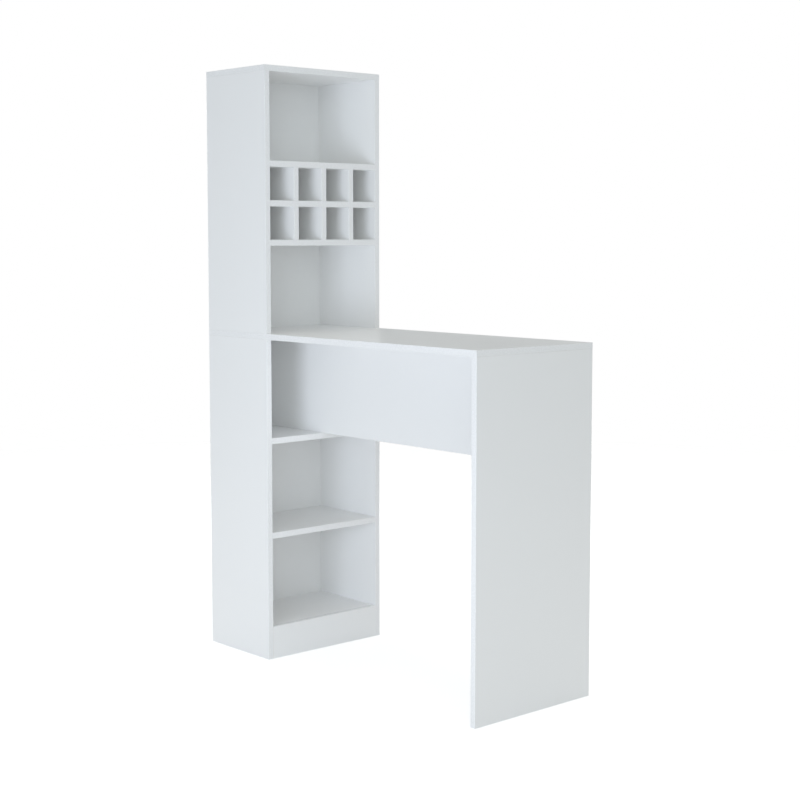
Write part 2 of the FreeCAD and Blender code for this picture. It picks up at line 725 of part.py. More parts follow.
def join_upper_cabinet():
    """Screw the upper cabinet on from under the counter, and the top panel on from above."""
    for side, y in ((upper_side_near, NEAR_MIDDLE), (upper_side_far, FAR_MIDDLE)):
        for x in both_ends(REAR, FRONT, 0):
            connector_joint(countertop, side, (x, y, COUNTER_UNDERSIDE), "+z")
            connector_joint(top_panel, side, (x, y, "tower_height"), "-z", capped=True)
        for x in both_ends(REAR, FRONT, 3):
            dowel_joint(countertop, side, (x, y, "counter_height"), "+z")
            dowel_joint(top_panel, side, (x, y, TOP_UNDERSIDE), "-z")
    for y in mirrored(f"1.25 * {CELL_PITCH}"):
        connector_joint(countertop, upper_back, (BACK_BOARD_MIDDLE, y, COUNTER_UNDERSIDE), "+z")
        connector_joint(
            top_panel, upper_back, (BACK_BOARD_MIDDLE, y, "tower_height"), "-z", capped=True)
    dowel_joint(top_panel, upper_back, (BACK_BOARD_MIDDLE, "0", TOP_UNDERSIDE), "-z")


def join_end_panel():
    """Draw the counter onto the end panel, with the cams in the panel's inner face."""
    for steps in (1, 4):
        for y in both_ends(NEAR, "overall_width / 2", steps):
            cam_joint(countertop, end_panel, (END_PANEL_MIDDLE, y, COUNTER_UNDERSIDE), "-z", "-x")
    for steps in (0, 2.5):
        for y in both_ends(NEAR, "overall_width / 2", steps):
            dowel_joint(countertop, end_panel, (END_PANEL_MIDDLE, y, COUNTER_UNDERSIDE), "-z")


def join_modesty_panel():
    """Fix the modesty panel at its ends, up to the counter and down onto the middle shelf."""
    for board, x, out in ((lower_back, BACK_BOARD_FRONT, "+x"), (end_panel, END_PANEL_INSIDE, "-x")):
        for z in both_ends(MODESTY_FOOT, COUNTER_UNDERSIDE, 1):
            cam_joint(board, modesty_panel, (x, "0", z), out, "+y")
        dowel_joint(board, modesty_panel, (x, "0", f"{MODESTY_FOOT} + modesty_height / 2"), out)
    step = "overall_length / 8"
    for x in mirrored(step) + mirrored(f"3 * {step}"):
        cam_joint(countertop, modesty_panel, (x, "0", COUNTER_UNDERSIDE), "-z", "+y")
    for x in ("0",) + mirrored(f"2 * {step}"):
        dowel_joint(countertop, modesty_panel, (x, "0", COUNTER_UNDERSIDE), "-z")
    for x in both_ends(BACK_BOARD_FRONT, FRONT, 1):
        dowel_joint(middle_shelf, modesty_panel, (x, "0", MODESTY_FOOT), "+z")


def join_rack_dividers():
    """Stand each divider on dowels between two rack shelves."""
    for (row, column), divider in rack_dividers.items():
        y = f"{NEAR_INSIDE} + {column} * {CELL_PITCH} - board_thickness / 2"
        for x in both_ends(BACK_BOARD_FRONT, FRONT, 0):
            foot = (x, y, f"{rack_level(row)} + board_thickness")
            head = (x, y, rack_level(row + 1))
            dowel_joint(rack_shelves[row], divider, foot, "+z", "dowel_in_rack_shelf")
            dowel_joint(rack_shelves[row + 1], divider, head, "-z", "dowel_in_rack_shelf")


LOWER_CABINET = (lower_side_near, lower_side_far, lower_back)
UPPER_CABINET = (upper_side_near, upper_side_far, upper_back)

join_shelf(bottom_shelf, *LOWER_CABINET, "plinth_height - board_thickness", PLINTH_REAR)
join_shelf(lower_shelf, *LOWER_CABINET, LOWER_SHELF_BASE)
join_shelf(middle_shelf, *LOWER_CABINET, MIDDLE_SHELF_BASE)
join_back(lower_back, lower_side_near, lower_side_far, "0", COUNTER_UNDERSIDE)
join_plinth()
join_lower_cabinet_to_counter()
join_end_panel()
join_modesty_panel()
for row, shelf in enumerate(rack_shelves):
    join_shelf(shelf, *UPPER_CABINET, rack_level(row))
join_rack_dividers()
join_back(upper_back, upper_side_near, upper_side_far, "counter_height", TOP_UNDERSIDE)
join_upper_cabinet()

sub_parts = [board.finish() for board in Board.made]
sub_parts += [fitting.finish() for fitting in FITTINGS]
doc.recompute()

for item in doc.Objects:
    if "Invalid" in item.State or "Error" in item.State:
        raise RuntimeError(f"{item.Label} failed: {item.State}")
for board in Board.made:
    if doc.getObject(board.name).Shape.Volume >= board.blank.Shape.Volume:
        raise RuntimeError(f"{board.name} isn't drilled")
for sub_part in sub_parts:
    if sub_part.Shape.isNull() or not sub_part.Shape.isValid():
        raise RuntimeError(f"{sub_part.Label} has no valid shape")

os.makedirs("parts", exist_ok=True)
for sub_part in sub_parts:
    sub_part.Shape.exportStep(f"parts/{sub_part.Label}.step")
    print(f"{sub_part.Label}: {len(sub_part.Shape.Solids)} solid(s)")
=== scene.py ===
# %% [markdown]
# # A bar counter with a shelf tower
#
# The real object is flat-pack furniture: twenty-three boards of white melamine-faced chipboard,
# pulled together by cam locks, dowels and screws. The boards come from the construction model and
# stay exactly where it puts them. This script gives them their finish, swaps the simple fittings
# for detailed ones, and sets up a pale studio round them.

import math

import bmesh
import bpy
import numpy as np
from mathutils import Matrix, Vector


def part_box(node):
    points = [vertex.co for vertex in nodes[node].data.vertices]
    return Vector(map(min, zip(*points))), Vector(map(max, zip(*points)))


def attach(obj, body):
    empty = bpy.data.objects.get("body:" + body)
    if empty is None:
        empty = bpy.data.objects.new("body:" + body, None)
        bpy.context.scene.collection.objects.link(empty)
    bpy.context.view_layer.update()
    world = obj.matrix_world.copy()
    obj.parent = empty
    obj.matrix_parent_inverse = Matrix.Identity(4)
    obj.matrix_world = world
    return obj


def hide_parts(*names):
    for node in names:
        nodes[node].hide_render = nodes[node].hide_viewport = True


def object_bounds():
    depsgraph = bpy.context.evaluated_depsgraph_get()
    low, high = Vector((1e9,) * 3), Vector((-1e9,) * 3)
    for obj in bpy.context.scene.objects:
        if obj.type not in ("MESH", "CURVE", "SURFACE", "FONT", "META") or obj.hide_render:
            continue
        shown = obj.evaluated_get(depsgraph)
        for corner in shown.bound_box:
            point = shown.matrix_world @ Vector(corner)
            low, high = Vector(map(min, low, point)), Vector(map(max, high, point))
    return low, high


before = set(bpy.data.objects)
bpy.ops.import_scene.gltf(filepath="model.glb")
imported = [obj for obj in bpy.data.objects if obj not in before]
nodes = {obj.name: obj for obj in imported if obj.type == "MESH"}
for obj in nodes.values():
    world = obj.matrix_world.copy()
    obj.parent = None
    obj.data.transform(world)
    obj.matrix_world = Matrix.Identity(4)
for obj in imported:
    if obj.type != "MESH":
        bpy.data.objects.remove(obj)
cad_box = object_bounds()
centre = (cad_box[0] + cad_box[1]) / 2
print("nodes:", len(nodes), "- whole object:", [round(side, 3) for side in cad_box[1] - cad_box[0]])

# %% [markdown]
# ## Building node trees in code
#
# A material or a Geometry Nodes tree is easier to read as text when one line makes one node. These
# helpers add a node, set its options and fill its sockets: a socket gets either a plain value or
# another node's output. Everything below is made with them.

# %% Node helpers
MM = 0.001


def feed(tree, socket, source):
    """Link a socket to another node's output, or set its value."""
    if isinstance(source, bpy.types.NodeSocket):
        tree.links.new(source, socket)
    else:
        socket.default_value = source


def put(tree, kind, inputs=None, **options):
    """Add one node, with its options set and its sockets filled by name or number."""
    node = tree.nodes.new(kind)
    for option, choice in options.items():
        setattr(node, option, choice)
    for socket, source in (inputs or {}).items():
        feed(tree, node.inputs[socket], source)
    return node


def maths(tree, operation, *values):
    """A number worked out from one, two or three others."""
    node = put(tree, "ShaderNodeMath", dict(enumerate(values)), operation=operation)
    return node.outputs["Value"]


def vectors(tree, operation, *values):
    """A vector worked out from others."""
    node = put(tree, "ShaderNodeVectorMath", dict(enumerate(values)), operation=operation)
    return node.outputs["Vector"]


def ramp(tree, value, start, end, low=0.0, high=1.0):
    """Stretch a value so that start becomes low and end becomes high, and clamp it to them."""
    inputs = {"Value": value, "From Min": start, "From Max": end, "To Min": low, "To Max": high}
    return put(tree, "ShaderNodeMapRange", inputs).outputs["Result"]


def mix(tree, share, first, second):
    """The first colour, with a share of the second mixed in."""
    node = put(tree, "ShaderNodeMix", {0: share, 6: first, 7: second}, data_type="RGBA")
    return node.outputs[2]


def mix_numbers(tree, share, first, second):
    """The first number, with a share of the second mixed in."""
    return put(tree, "ShaderNodeMix", {0: share, 2: first, 3: second}).outputs[0]


def noise(tree, place, scale, detail=2.0, **inputs):
    """Soft noise round 0.5, with features 1 / scale metres across."""
    sockets = {"Vector": place, "Scale": scale, "Detail": detail, **inputs}
    return put(tree, "ShaderNodeTexNoise", sockets).outputs["Fac"]


def spread(tree, soft_noise, low=0.0, high=1.0):
    """Stretch soft noise, which mostly stays between 0.3 and 0.7, over a range of values."""
    return ramp(tree, soft_noise, 0.3, 0.7, low, high)


def grey(level):
    """An opaque neutral colour."""
    return (level, level, level, 1.0)


# %% Start and finish a material
def new_material(name):
    """An empty material and its node tree."""
    material = bpy.data.materials.new(name)
    material.use_nodes = True
    material.node_tree.nodes.clear()
    return material, material.node_tree


def finish_material(tree, colour, roughness, height, **even):
    """End a tree in one Principled shader, with relief in metres and any plain values."""
    bump = put(tree, "ShaderNodeBump", {"Strength": 1.0, "Distance": 1.0, "Height": height})
    sockets = {"Base Color": colour, "Roughness": roughness, "Normal": bump.outputs["Normal"]}
    for name, number in even.items():
        sockets[name.replace("_", " ")] = number
    shader = put(tree, "ShaderNodeBsdfPrincipled", sockets)
    put(tree, "ShaderNodeOutputMaterial", {"Surface": shader.outputs["BSDF"]})


# %% [markdown]
# ## The board: melamine, edge band and chipboard
#
# A board is a sandwich. Its two broad faces are melamine paper, about a quarter of a millimetre
# thick, pressed with a fine pearl texture. The edges that show carry a 1 mm plastic band, glued on
# and scraped round, so a hairline of glue runs 1 mm inside the edge. The edges that don't show are
# sawn chipboard, and so are the walls of every drilled hole.
#
# One could paint three materials on three sets of faces, but a board's mesh is left as it came.
# Instead each material works out where a point lies inside its own board: how deep under the broad
# faces, and how far from the nearest banded edge. Those two distances choose between the layers,
# so a sawn end and even the wall of a screw hole show chipboard with no extra work.

# %% Sizes and colours of the layers
PAPER = 0.25 * MM
BAND = 1.0 * MM
GLUE_LINE = 0.12 * MM
FAR_AWAY = 10.0

MELAMINE_WHITE = (0.925, 0.925, 0.920, 1.0)
BAND_WHITE = (0.915, 0.915, 0.915, 1.0)
GLUE_GREY = (0.52, 0.50, 0.46, 1.0)
CHIP_DARK = (0.300, 0.188, 0.098, 1.0)
CHIP_MIDDLE = (0.545, 0.390, 0.235, 1.0)
CHIP_LIGHT = (0.720, 0.575, 0.400, 1.0)


# %% A group with named sockets
def new_group(name, kind, inputs, outputs):
    """A node group with its interface, and the nodes at its two ends."""
    group = bpy.data.node_groups.new(name, kind)
    for way, sockets in (("INPUT", inputs), ("OUTPUT", outputs)):
        for socket, socket_type in sockets:
            group.interface.new_socket(socket, in_out=way, socket_type=f"NodeSocket{socket_type}")
    return group, put(group, "NodeGroupInput"), put(group, "NodeGroupOutput")


# %% Where a point lies in its board
def smallest_part(tree, vector):
    """The smallest of a vector's three components."""
    parts = put(tree, "ShaderNodeSeparateXYZ", {"Vector": vector}).outputs
    return maths(tree, "MINIMUM", maths(tree, "MINIMUM", parts["X"], parts["Y"]), parts["Z"])


def distance_to_sides(tree, above, below, low_sides, high_sides):
    """Distance to the nearest of the chosen sides, each a vector of ones and noughts."""
    ones = (1.0, 1.0, 1.0)
    reach = (FAR_AWAY, FAR_AWAY, FAR_AWAY)
    found = []
    for gap, sides in ((above, low_sides), (below, high_sides)):
        left_out = vectors(tree, "SUBTRACT", ones, sides)
        found.append(vectors(tree, "MULTIPLY_ADD", left_out, reach, gap))
    return smallest_part(tree, vectors(tree, "MINIMUM", *found))


# %% Grain and relief of the layers
# Grain is given in features per metre, as Blender's noise takes it, and relief in metres.
CLOUDS = 4.0
HANDLING = 9.0
PEARL = 620.0
CHATTER = 240.0
COARSE_CHIPS = 420.0
FINE_CHIPS = 1300.0
PORES = 700.0

PEARL_RELIEF = 0.012 * MM
CHATTER_RELIEF = 0.01 * MM
CHIP_RELIEF = 0.10 * MM
PORE_RELIEF = 0.12 * MM
DUST_ENDS, CHIPS_START = 2.0 * MM, 4.5 * MM
SHADE_BETWEEN = grey(0.84)


# %% The three layers
def melamine_layer(tree, place):
    """Pressed melamine paper: an even white with a pearl texture. Colour, roughness and relief."""
    cloud = noise(tree, place, CLOUDS, 3.0)
    pearl = noise(tree, place, PEARL, 2.0, Roughness=0.6)
    colour = mix(tree, spread(tree, cloud, 0.0, 0.04), MELAMINE_WHITE, SHADE_BETWEEN)
    handled = noise(tree, place, HANDLING, 4.0)
    roughness = maths(tree, "ADD", spread(tree, handled, 0.29, 0.35),
                      spread(tree, pearl, -0.02, 0.02))
    return colour, roughness, maths(tree, "MULTIPLY", pearl, PEARL_RELIEF)


def band_layer(tree, place):
    """Plastic edge band: smoother and a shade greyer, with the scraper's fine chatter."""
    chatter = noise(tree, place, CHATTER, 1.0)
    colour = mix(tree, spread(tree, chatter, 0.0, 0.03), BAND_WHITE, SHADE_BETWEEN)
    roughness = spread(tree, chatter, 0.24, 0.30)
    return colour, roughness, maths(tree, "MULTIPLY", chatter, CHATTER_RELIEF)


def chipboard_layer(tree, place, depth):
    """Sawn chipboard: coarse chips in the middle of the board, fine dust near its faces."""
    coarse = put(tree, "ShaderNodeTexVoronoi", {"Vector": place, "Scale": COARSE_CHIPS}).outputs
    fine = put(tree, "ShaderNodeTexVoronoi", {"Vector": place, "Scale": FINE_CHIPS}).outputs
    near_face = ramp(tree, depth, DUST_ENDS, CHIPS_START, 1.0, 0.0)
    chip = mix(tree, near_face, coarse["Color"], fine["Color"])
    shade = put(tree, "ShaderNodeSeparateColor", {"Color": chip}).outputs
    colour = mix(tree, shade["Red"], CHIP_MIDDLE, CHIP_LIGHT)
    colour = mix(tree, ramp(tree, shade["Green"], 0.72, 0.95, 0.0, 0.8), colour, CHIP_DARK)
    pores = noise(tree, place, PORES, 4.0)
    colour = mix(tree, ramp(tree, pores, 0.55, 0.75, 0.0, 0.6), colour, CHIP_DARK)
    height = maths(tree, "ADD", maths(tree, "MULTIPLY", shade["Blue"], CHIP_RELIEF),
                   maths(tree, "MULTIPLY", pores, PORE_RELIEF))
    return colour, spread(tree, pores, 0.80, 0.95), height


# %% The layers put together
def make_board_group():
    """The node group that every board's material uses, fed with that board's own corners."""
    inputs = [("Low corner", "Vector"), ("High corner", "Vector"), ("Broad faces", "Vector"),
              ("Low bands", "Vector"), ("High bands", "Vector"), ("Batch", "Vector")]
    outputs = [("Colour", "Color"), ("Roughness", "Float"), ("Relief", "Float")]
    group, given, result = new_group("board_layers", "ShaderNodeTree", inputs, outputs)
    here = put(group, "ShaderNodeTexCoord").outputs["Object"]
    above = vectors(group, "SUBTRACT", here, given.outputs["Low corner"])
    below = vectors(group, "SUBTRACT", given.outputs["High corner"], here)
    broad = given.outputs["Broad faces"]
    depth = distance_to_sides(group, above, below, broad, broad)
    to_band = distance_to_sides(group, above, below, given.outputs["Low bands"],
                                given.outputs["High bands"])
    core = maths(group, "GREATER_THAN", depth, PAPER)
    on_band = maths(group, "LESS_THAN", to_band, BAND)
    off_line = maths(group, "ABSOLUTE", maths(group, "SUBTRACT", to_band, BAND))
    on_glue = maths(group, "LESS_THAN", off_line, GLUE_LINE / 2)

    place = vectors(group, "ADD", here, given.outputs["Batch"])
    face = melamine_layer(group, place)
    band = band_layer(group, place)
    chips = chipboard_layer(group, place, depth)

    colour = mix(group, core, face[0], chips[0])
    colour = mix(group, on_band, colour, band[0])
    colour = mix(group, on_glue, colour, GLUE_GREY)
    roughness = mix_numbers(group, on_band, mix_numbers(group, core, face[1], chips[1]), band[1])
    relief = mix_numbers(group, on_band, mix_numbers(group, core, face[2], chips[2]), band[2])
    for socket, source in (("Colour", colour), ("Roughness", roughness), ("Relief", relief)):
        feed(group, result.inputs[socket], source)
    return group


board_group = make_board_group()
print("board layers:", len(board_group.nodes), "nodes")

# %% [markdown]
# ## Which edges are banded
#
# The factory bands the edges that stay in sight: the front and rear of the tower's sides, the
# front of each shelf, all four edges of the counter and the top. A board between two others is
# sawn at both ends. The table below says it in one line for each kind of board, and each board
# gets its own material from its own corners. A different patch of the pattern for each board
# keeps neighbours from looking cut from one sheet.

# %% One material for each board
BANDS = {
    "lower_side": "+x -x", "upper_side": "+x -x", "countertop": "+x -x +y -y",
    "top_panel": "+x -x +y -y", "end_panel": "+y -y", "modesty_panel": "-z", "plinth": "+z",
    "bottom_shelf": "+x", "lower_shelf": "+x", "middle_shelf": "+x", "rack": "+x",
}


def bands_of(board):
    """The banded sides of a board, looked up by how its name starts."""
    return next((BANDS[kind].split() for kind in BANDS if board.startswith(kind)), [])


def finish_board(board, batch):
    """Give a board its own finish, worked out from its corners and its banded sides."""
    low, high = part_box(board)
    sides = list(high - low)
    broad = [float(side == min(sides)) for side in sides]
    bands = bands_of(board)
    low_bands = [float(f"-{axis}" in bands) for axis in "xyz"]
    high_bands = [float(f"+{axis}" in bands) for axis in "xyz"]
    material, tree = new_material(f"melamine_{board}")
    layers = put(tree, "ShaderNodeGroup", node_tree=board_group)
    corners = {"Low corner": low, "High corner": high, "Broad faces": broad,
               "Low bands": low_bands, "High bands": high_bands, "Batch": (0.0, 0.0, batch)}
    for socket, number in corners.items():
        layers.inputs[socket].default_value = number
    made = layers.outputs
    finish_material(tree, made["Colour"], made["Roughness"], made["Relief"])
    for slot in nodes[board].material_slots:
        slot.material = material


# Each board's pattern is read this many metres further on than its neighbour's.
BATCH_STEP = 3.7

boards = sorted(name for name in nodes if "white_board" in nodes[name].material_slots[0].name)
for number, board in enumerate(boards):
    finish_board(board, number * BATCH_STEP)
print("boards finished:", len(boards))

# %% [markdown]
# ## Finding where the fittings sit
#
# The construction model already holds every cam, bolt, dowel and screw, as simple solids, with all
# copies of one fitting in one node. A table of their places would go stale when a board changes,
# so the places are read from the model instead: the node's triangles are sorted into separate
# solids, and each solid's own box says where its axis runs and which end of it is the head.

# %% The separate solids of a node
WELD = 0.001 * MM
END_SLICE = 0.02


def solids_of(node):
    """The corner points of each separate solid in a node, found by which triangles touch."""
    mesh = nodes[node].data
    points = np.empty(len(mesh.vertices) * 3)
    mesh.vertices.foreach_get("co", points)
    points = points.reshape(-1, 3)
    corners = np.empty(len(mesh.loops), int)
    mesh.loops.foreach_get("vertex_index", corners)
    rounded = np.round(points / WELD).astype(int)
    spot = np.unique(rounded, axis=0, return_inverse=True)[1].reshape(-1)
    triangles = spot[corners].reshape(-1, 3)
    label = np.arange(spot.max() + 1)
    settled = False
    while not settled:
        before = label.copy()
        lowest = label[triangles].min(axis=1)
        for corner in range(3):
            np.minimum.at(label, triangles[:, corner], lowest)
        label = label[label]
        settled = bool((label == before).all())
    group = label[spot]
    return [points[group == one] for one in np.unique(group)]


# %% Axis and head of one solid
def odd_axis(points):
    """The axis of a turned piece: the side of its box that differs from the other two."""
    size = points.max(axis=0) - points.min(axis=0)
    return int(np.argmax(abs(size - np.median(size))))


def end_width(points, axis, end):
    """How wide a solid is at its lower (0) or upper (1) end."""
    along = points[:, axis]
    low, high = along.min(), along.max()
    reach = END_SLICE * (high - low)
    at_end = along > high - reach if end else along < low + reach
    size = points[at_end].max(axis=0) - points[at_end].min(axis=0)
    return size.max()


def seat_of(points, head_is_wide=True):
    """The middle of a solid's outer end, and the direction that end faces."""
    axis = odd_axis(points)
    low, high = points.min(axis=0), points.max(axis=0)
    wide_end = int(end_width(points, axis, 1) >= end_width(points, axis, 0))
    outer = wide_end if head_is_wide else 1 - wide_end
    seat = (low + high) / 2
    seat[axis] = high[axis] if outer else low[axis]
    out = np.zeros(3)
    out[axis] = 1.0 if outer else -1.0
    return seat, out


def length_and_width(node):
    """Length along the axis and width across it of the pieces in a node."""
    points = solids_of(node)[0]
    size = points.max(axis=0) - points.min(axis=0)
    axis = odd_axis(points)
    return float(size[axis]), float(np.delete(size, axis).max())


# %% Seats of every fitting
def sideways(out):
    """Some direction square to another, for fittings that may sit at any angle."""
    return np.roll(out, 1)


def plain_seats(node, head_is_wide=True):
    """Seat, outward direction and sideways direction of each piece in a node."""
    found = [seat_of(points, head_is_wide) for points in solids_of(node)]
    return [(seat, out, sideways(out)) for seat, out in found]


def cam_seats():
    """A cam faces away from the bolt that it grips, and its mouth points along that bolt."""
    bolts = [(seat, out) for seat, out, side in plain_seats("cam_bolts")]
    heads = np.array([seat for seat, out in bolts])
    seats = []
    for points in solids_of("cam_locks"):
        middle = (points.min(axis=0) + points.max(axis=0)) / 2
        nearest = int(np.argmin(np.linalg.norm(heads - middle, axis=1)))
        head, bolt_out = bolts[nearest]
        off = (middle - head) * (bolt_out == 0)
        out = np.sign(off) * (abs(off) == abs(off).max())
        size = points.max(axis=0) - points.min(axis=0)
        seats.append((middle + out * size / 2, out, -bolt_out))
    return seats


seats = {
    "cam_locks": cam_seats(),
    "cam_bolts": plain_seats("cam_bolts"),
    "cam_caps": plain_seats("cam_caps"),
    "wooden_dowels": plain_seats("wooden_dowels"),
    "confirmat_screws": plain_seats("confirmat_screws"),
    "screw_caps": plain_seats("screw_caps", head_is_wide=False),
    "back_screws": plain_seats("back_screws"),
}
for name, places in seats.items():
    print(name, len(places), "pieces")

# %% [markdown]
# ## Turning a fitting
#
# Screws, bolts, dowels and caps are all turned: a half profile swept once round an axis. Blender's
# Screw modifier or a bmesh spin would do it, but a grid written straight from a formula also takes
# a true helical thread or the flutes of a dowel, because the radius may depend on the angle as
# well as the height. Each row of the grid is one height of the profile.
#
# Every pattern piece stands with its visible end at the origin, facing +Z. It carries its own
# coordinates as an attribute, so that grain and wear follow it wherever a copy is turned.

# %% Rows of a turned piece
TAU = 2 * math.pi
THREAD_ROWS = 6


def rows_with_thread(profile, thread):
    """The profile's rows from the top down, with extra rows where the thread runs."""
    rows = []
    for (height, radius), (next_height, next_radius) in zip(profile, profile[1:]):
        rows.append((height, radius))
        if thread and height == thread["start"]:
            count = round((height - next_height) / thread["pitch"] * THREAD_ROWS)
            for share in np.linspace(0.0, 1.0, count + 1)[1:-1]:
                rows.append((height + share * (next_height - height),
                             radius + share * (next_radius - radius)))
    return np.array(rows + [profile[-1]])


# %% A turned mesh
RIDGE_SLOPE = 4.0
RIDGE_TOP = 1.3


def thread_height(heights, angles, thread):
    """Relief of a helical thread, fading in and out over one pitch at its two ends."""
    turn = (heights[:, None] / thread["pitch"] + angles / TAU) % 1.0
    ridge = np.clip(RIDGE_TOP - abs(turn - 0.5) * RIDGE_SLOPE, 0.0, 1.0)
    inside = np.minimum(heights - thread["end"], thread["start"] - heights)
    fade = np.clip(inside / thread["pitch"], 0.0, 1.0)
    return thread["depth"] * ridge * fade[:, None]


def turned(profile, sides, thread=None, flutes=0, flute_depth=0.0):
    """A mesh turned about Z from (height, radius) pairs, given from the top down."""
    rows = rows_with_thread(profile, thread)
    angles = np.arange(sides) * TAU / sides
    radii = np.repeat(rows[:, 1:], sides, axis=1)
    if thread:
        radii = radii + thread_height(rows[:, 0], angles, thread)
    if flutes:
        barrel = radii.max(axis=1) > radii.max() - flute_depth / 2
        radii = radii - barrel[:, None] * flute_depth * (0.5 - 0.5 * np.cos(angles * flutes))
    shape = bmesh.new()
    rings = []
    for height, ring in zip(rows[:, 0], radii):
        if ring.max() == 0.0:
            rings.append([shape.verts.new((0.0, 0.0, height))] * sides)
        else:
            spots = zip(ring * np.cos(angles), ring * np.sin(angles))
            rings.append([shape.verts.new((x, y, height)) for x, y in spots])
    for upper, lower in zip(rings, rings[1:]):
        for one in range(sides):
            other = (one + 1) % sides
            corners = (upper[one], lower[one], lower[other], upper[other])
            shape.faces.new(dict.fromkeys(corners))
    return mesh_from(shape)


def mesh_from(shape):
    """Close a bmesh into a mesh whose faces point outwards."""
    bmesh.ops.recalc_face_normals(shape, faces=shape.faces)
    mesh = bpy.data.meshes.new("pattern")
    shape.to_mesh(mesh)
    shape.free()
    return mesh


# %% [markdown]
# ## Carving a recess
#
# The cross in a screw's head and the openings of a cam aren't round, so they are carved. A Boolean
# modifier with the exact solver subtracts each cutter, its result is read back as a plain mesh, and
# a bevel breaks the new sharp edges. The cutters taper, as the punch of a real recess does.

# %% Cutters
def wedge(top, bottom, low, high):
    """A bar about Z that narrows downwards. `top` and `bottom` are its lengths along X and Y."""
    shape = bmesh.new()
    bmesh.ops.create_cube(shape, size=1.0)
    for corner in shape.verts:
        size = top if corner.co.z > 0 else bottom
        height = high if corner.co.z > 0 else low
        corner.co = Vector((corner.co.x * size[0], corner.co.y * size[1], height))
    return mesh_from(shape)


def sector(inner, outer, start, end, low, high, steps=10):
    """Part of a ring about Z, between two angles in degrees."""
    shape = bmesh.new()
    angles = [math.radians(start + (end - start) * step / steps) for step in range(steps + 1)]
    columns = []
    for angle in angles:
        way = Vector((math.cos(angle), math.sin(angle), 0.0))
        corners = ((inner, low), (outer, low), (outer, high), (inner, high))
        columns.append([shape.verts.new(way * radius + Vector((0, 0, z))) for radius, z in corners])
    for one, other in zip(columns, columns[1:]):
        for side in range(4):
            following = (side + 1) % 4
            shape.faces.new((one[side], one[following], other[following], other[side]))
    shape.faces.new(columns[0])
    shape.faces.new(columns[-1])
    return mesh_from(shape)


def shifted(mesh, *place):
    """Move a cutter's mesh."""
    mesh.transform(Matrix.Translation(place))
    return mesh


# %% Carve
def read_back(piece):
    """The plain mesh that a piece's modifiers make, with its attributes."""
    graph = bpy.context.evaluated_depsgraph_get()
    made = piece.evaluated_get(graph)
    return bpy.data.meshes.new_from_object(made, preserve_all_data_layers=True, depsgraph=graph)


def carved(mesh, cutters, chamfer=0.0):
    """Subtract the cutters from a mesh one by one, and break the sharp edges that are left."""
    blank = bpy.data.objects.new("blank", mesh)
    bpy.context.scene.collection.objects.link(blank)
    for cutter_mesh in cutters:
        cutter = bpy.data.objects.new("cutter", cutter_mesh)
        bpy.context.scene.collection.objects.link(cutter)
        cut = blank.modifiers.new("cut", "BOOLEAN")
        cut.solver = "EXACT"
        cut.object = cutter
        blank_mesh = read_back(blank)
        blank.modifiers.clear()
        blank.data = blank_mesh
        bpy.data.objects.remove(cutter)
    if chamfer:
        bevel = blank.modifiers.new("chamfer", "BEVEL")
        bevel.width = chamfer
        bevel.segments = 1
        bevel.limit_method = "ANGLE"
        bevel.angle_limit = math.radians(60)
        blank.data = read_back(blank)
    result = blank.data
    bpy.data.objects.remove(blank)
    return result


# %% [markdown]
# ## The pattern pieces
#
# One function makes each kind of fitting at the size of the construction model's own solid. The
# shares and small sizes in them are a maker's: how deep a head's recess goes, where a shank ends.
# A profile is read from the middle of the visible end, out and down to the other end.

# %% Cover caps
CAP_SIDES = 40


def cam_cap_pattern():
    """A press-in cap: a soft dome, dished in the middle, on a short pin."""
    length, width = length_and_width("cam_caps")
    radius = width / 2
    flange = 1.2 * MM
    pin = 1.8 * MM
    profile = [
        (-0.14 * MM, 0.0), (-0.14 * MM, 0.40 * radius), (-0.04 * MM, 0.56 * radius),
        (0.0, 0.68 * radius), (-0.03 * MM, 0.80 * radius), (-0.20 * MM, 0.90 * radius),
        (-0.50 * MM, 0.965 * radius), (-0.85 * MM, radius), (-flange, radius), (-flange, pin),
        (-length + 0.3 * MM, pin), (-length, pin - 0.3 * MM), (-length, 0.0),
    ]
    return turned(profile, CAP_SIDES)


def screw_cap_pattern():
    """A stick-on cap: a thin disc with a soft rim."""
    thickness, width = length_and_width("screw_caps")
    radius = width / 2
    profile = [
        (0.0, 0.0), (0.0, 0.92 * radius), (-0.15 * thickness, 0.965 * radius),
        (-0.45 * thickness, radius), (-thickness, radius), (-thickness, 0.0),
    ]
    return turned(profile, CAP_SIDES)


# %% Screws
SCREW_SIDES = 28


def cross_recess(span, arm, depth):
    """Two crossed wedges: the punch for a cross recess."""
    above = 0.3 * MM
    foot = 0.45 * span
    along = wedge((span, arm), (foot, 0.7 * arm), -depth, above)
    over = wedge((arm, span), (0.7 * arm, foot), -depth, above)
    return [along, over]


def back_screw_pattern():
    """A countersunk chipboard screw with a cross recess."""
    length, width = length_and_width("back_screws")
    radius = width / 2
    crest, root = 1.95 * MM, 1.40 * MM
    thread = {"start": -5.0 * MM, "end": -length + 4.0 * MM, "pitch": 2.4 * MM,
              "depth": crest - root}
    profile = [
        (0.0, 0.0), (0.0, radius - 0.15 * MM), (-0.15 * MM, radius), (-0.6 * MM, radius),
        (-2.6 * MM, crest), (-3.2 * MM, root), (thread["start"], root), (thread["end"], root),
        (-length, 0.0),
    ]
    blank = turned(profile, SCREW_SIDES, thread)
    return carved(blank, cross_recess(span=4.4 * MM, arm=0.9 * MM, depth=1.6 * MM))


